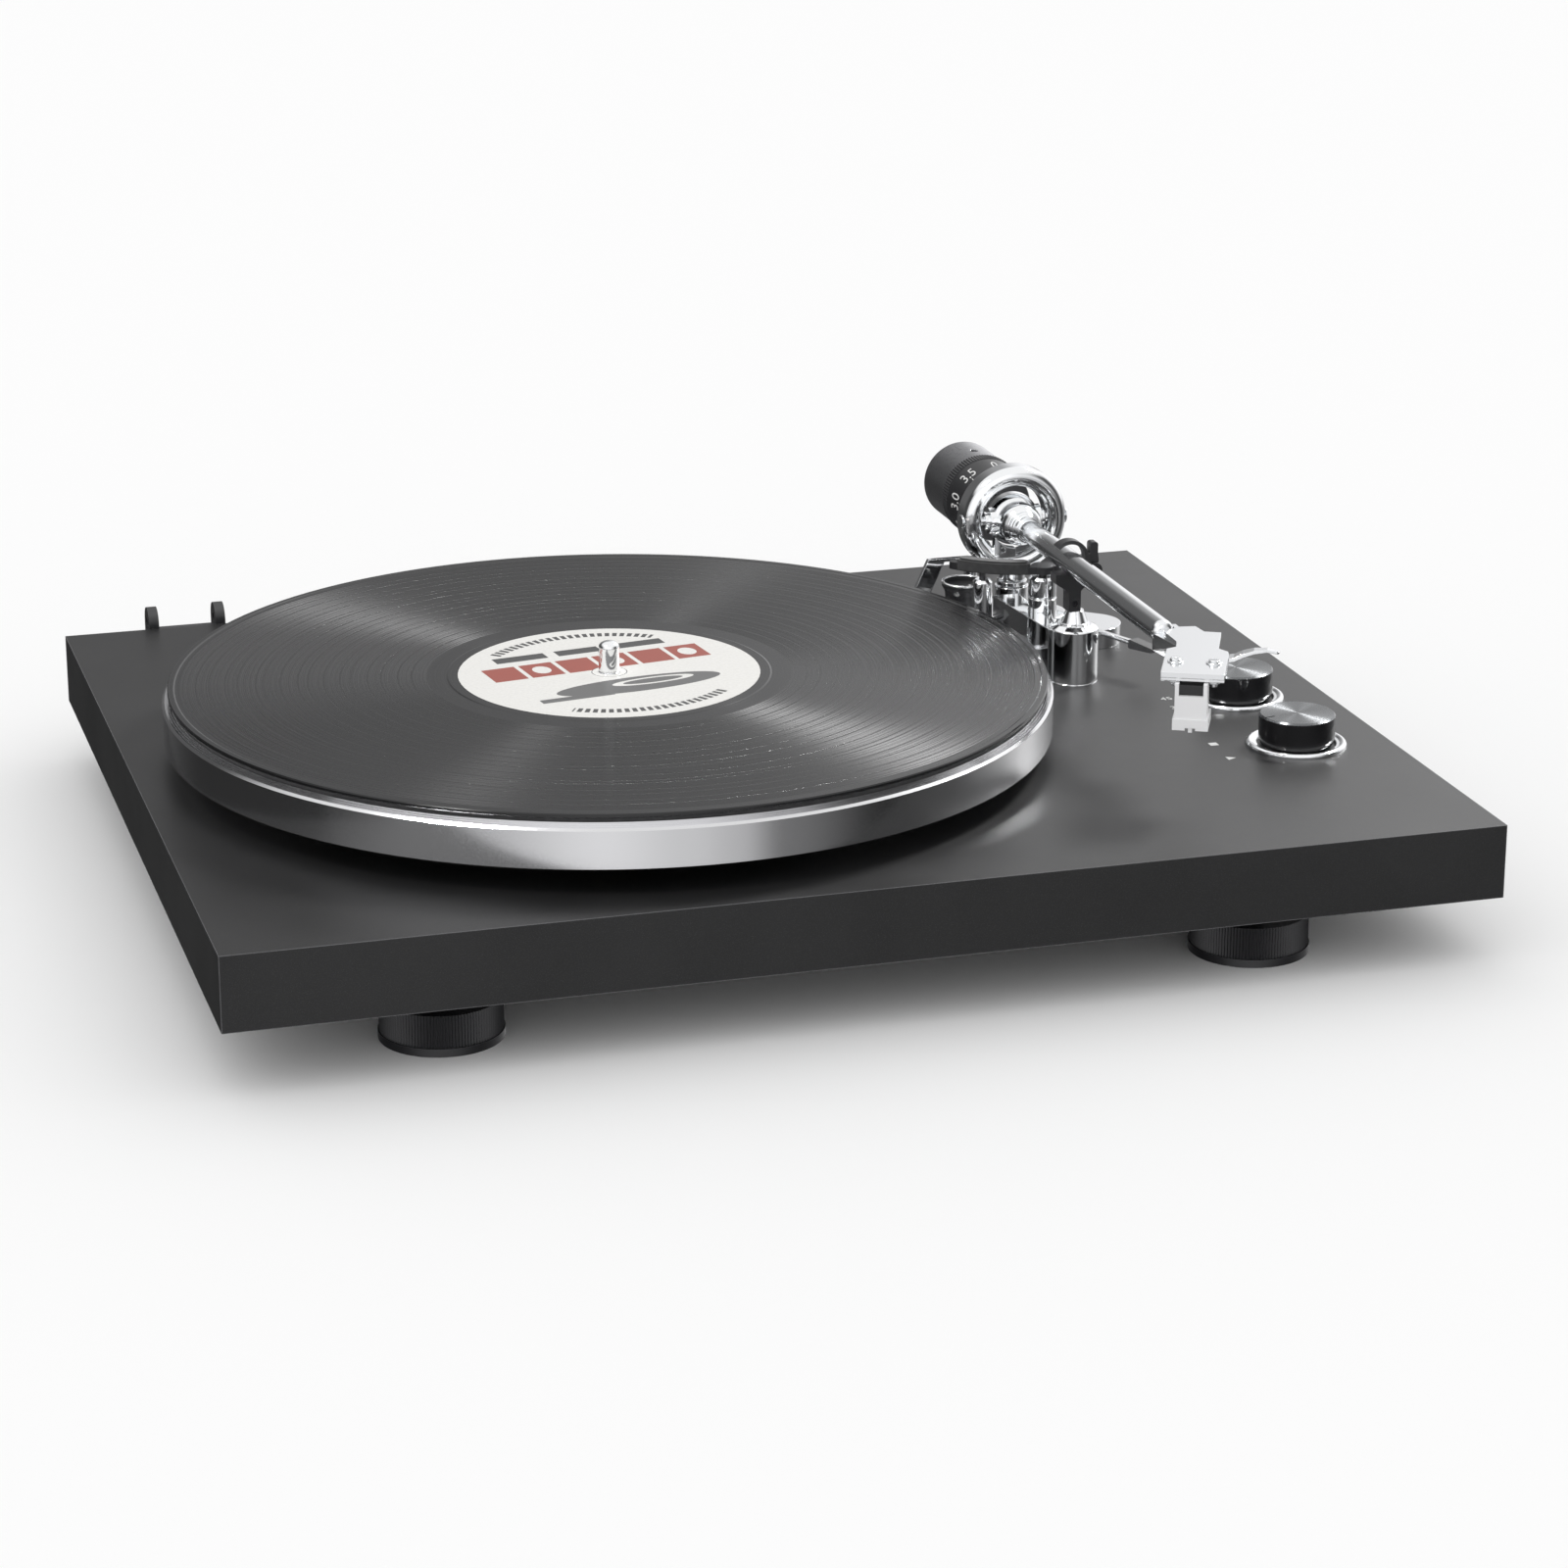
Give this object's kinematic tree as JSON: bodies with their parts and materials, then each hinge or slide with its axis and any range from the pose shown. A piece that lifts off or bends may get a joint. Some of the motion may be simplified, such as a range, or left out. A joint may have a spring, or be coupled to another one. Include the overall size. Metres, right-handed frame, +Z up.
{
  "type": "turntable record player",
  "caption": "Belt-drive record player: dark slab plinth on round feet, polished platter with a record, straight tonearm with gimbal ring and counterweight.",
  "frame": {"origin": "middle of the whole object's footprint, on the surface it stands on", "axes": "+X to the right seen from the front, +Y to the back, +Z up"},
  "size_m": [0.424, 0.362, 0.1126],
  "materials": {
    "plinth_lacquer": "satin dark lacquer",
    "cover_plate": "matt black",
    "steel": "plain",
    "black_steel": "blackened",
    "black_plastic": "satin black",
    "brass": "turned",
    "motor_can": "plated",
    "board": "green lacquer",
    "chrome": "polished",
    "gold_plate": "plated",
    "platter_alloy": "polished",
    "drive_ring": "satin black",
    "mat_rubber": "matt",
    "vinyl": "grooved, glossy",
    "label_paper": "printed",
    "belt_rubber": "matt",
    "foot_rubber": "ridged",
    "knob_black": "glossy",
    "spun_metal": "spun",
    "arm_alloy": "polished",
    "cartridge_black": "glossy",
    "stylus_white": "glossy",
    "weight_black": "satin black",
    "dial_black": "satin",
    "soft_grip": "soft"
  },
  "bodies": {
    "base": {"plinth": "plinth_lacquer", "bottom_cover": "cover_plate", "case_screws": "steel", "hinge_bracket_left": "black_plastic", "hinge_bracket_right": "black_plastic", "hinge_screws": "black_steel", "spindle_bearing": "brass", "thrust_ball": "steel", "drive_motor": "motor_can", "circuit_board": "board", "start_switch": "black_plastic", "speed_switch": "black_plastic", "start_escutcheon": "chrome", "speed_escutcheon": "chrome", "rear_panel": "black_plastic", "audio_jacks": "gold_plate", "ground_post": "chrome", "power_inlet": "black_plastic", "arm_base": "chrome", "lift_cylinder": "chrome", "rest_post": "chrome", "rest_clip": "black_plastic", "clip_screw": "black_steel", "drive_belt": "belt_rubber"},
    "platter_set": {"platter": "platter_alloy", "sub_platter": "drive_ring", "spindle": "chrome", "slip_mat": "mat_rubber", "record": "vinyl", "record_label": "label_paper"},
    "pulley_set": {"motor_pulley": "brass", "motor_shaft": "steel"},
    "start_knob_set": {"start_knob": "knob_black", "start_knob_cap": "spun_metal"},
    "speed_knob_set": {"speed_knob": "knob_black", "speed_knob_cap": "spun_metal"},
    "arm_yoke": {"gimbal_ring": "chrome", "yaw_shaft": "steel", "pivot_screws": "chrome"},
    "tonearm": {"arm_hub": "chrome", "arm_tube": "arm_alloy", "counterweight_shaft": "steel", "headshell": "arm_alloy", "headshell_screws": "steel", "finger_lift": "arm_alloy", "cartridge": "cartridge_black", "stylus": "stylus_white"},
    "sleeve": {"weight_sleeve": "soft_grip"},
    "counterweight": {"counterweight": "weight_black"},
    "force_dial": {"force_dial": "dial_black"},
    "antiskate": {"antiskate_dial": "black_plastic"},
    "cue": {"cue_lever": "chrome", "cue_grip": "soft_grip"},
    "lifter": {"lifter_bar": "black_plastic", "lifter_pad": "mat_rubber"},
    "latch": {"rest_latch": "black_plastic"},
    "foot_front_left_set": {"foot_front_left": "foot_rubber"},
    "foot_front_right_set": {"foot_front_right": "foot_rubber"},
    "foot_back_left_set": {"foot_back_left": "foot_rubber"},
    "foot_back_right_set": {"foot_back_right": "foot_rubber"}
  },
  "joints": [
    {"name": "platter_spin", "type": "hinge", "parent": "base", "child": "platter_set", "pos_m": [-0.0482, -0.0145, 0.0654], "axis": [0, 0, -1], "continuous": true},
    {"name": "pulley_spin", "type": "hinge", "parent": "base", "child": "pulley_set", "pos_m": [-0.1362, 0.0515, 0.062], "axis": [0, 0, -1], "continuous": true},
    {"name": "start_turn", "type": "hinge", "parent": "base", "child": "start_knob_set", "pos_m": [0.179, -0.0825, 0.052], "axis": [0, 0, 1], "range_deg": [-27, 0]},
    {"name": "speed_turn", "type": "hinge", "parent": "base", "child": "speed_knob_set", "pos_m": [0.179, -0.0266, 0.052], "axis": [0, 0, 1], "range_deg": [-25, 0]},
    {"name": "arm_yaw", "type": "hinge", "parent": "base", "child": "arm_yoke", "pos_m": [0.128, 0.07, 0.072], "axis": [0, 0, -1], "range_deg": [0, 47]},
    {"name": "arm_pitch", "type": "hinge", "parent": "arm_yoke", "child": "tonearm", "pos_m": [0.128, 0.07, 0.0924], "axis": [-1, 0, 0], "range_deg": [0, 1.5]},
    {"name": "lifter_slide", "type": "slide", "parent": "base", "child": "lifter", "axis": [0, 0, 1], "range_m": [0, 0.0025]},
    {"name": "cue_lift", "type": "hinge", "parent": "base", "child": "cue", "pos_m": [0.139, 0.046, 0.059], "axis": [-0.9164, -0.4003, 0], "range_deg": [0, 61]},
    {"name": "weight_slide", "type": "slide", "parent": "tonearm", "child": "sleeve", "axis": [0, 1, 0], "range_m": [-0.0021, 0.0041]},
    {"name": "weight_turn", "type": "hinge", "parent": "sleeve", "child": "counterweight", "pos_m": [0.128, 0.114, 0.0924], "axis": [0, 1, 0], "range_deg": [-360, 720]},
    {"name": "dial_turn", "type": "hinge", "parent": "counterweight", "child": "force_dial", "pos_m": [0.128, 0.094, 0.0924], "axis": [0, 1, 0], "continuous": true},
    {"name": "antiskate_turn", "type": "hinge", "parent": "base", "child": "antiskate", "pos_m": [0.1112, 0.0764, 0.062], "axis": [0, 0, 1], "range_deg": [0, 270]},
    {"name": "latch_swing", "type": "hinge", "parent": "base", "child": "latch", "pos_m": [0.1374, 0.0103, 0.0886], "axis": [0, 1, 0], "range_deg": [0, 100]},
    {"name": "foot_front_left_turn", "type": "hinge", "parent": "base", "child": "foot_front_left_set", "pos_m": [-0.137, -0.1455, 0.017], "axis": [0, 0, 1], "range_deg": [-180, 180]},
    {"name": "foot_front_right_turn", "type": "hinge", "parent": "base", "child": "foot_front_right_set", "pos_m": [0.137, -0.1455, 0.017], "axis": [0, 0, 1], "range_deg": [-180, 180]},
    {"name": "foot_back_left_turn", "type": "hinge", "parent": "base", "child": "foot_back_left_set", "pos_m": [-0.137, 0.1335, 0.017], "axis": [0, 0, 1], "range_deg": [-180, 180]},
    {"name": "foot_back_right_turn", "type": "hinge", "parent": "base", "child": "foot_back_right_set", "pos_m": [0.137, 0.1335, 0.017], "axis": [0, 0, 1], "range_deg": [-180, 180]}
  ],
  "couplings": [
    {"joint": "pulley_spin", "follows": "platter_spin", "ratio": 8.1264},
    {"joint": "lifter_slide", "follows": "arm_pitch", "m_per_rad": 0.093583},
    {"joint": "cue_lift", "follows": "arm_pitch", "ratio": 40},
    {"joint": "weight_slide", "follows": "weight_turn", "m_per_rad": 0.00031831}
  ]
}
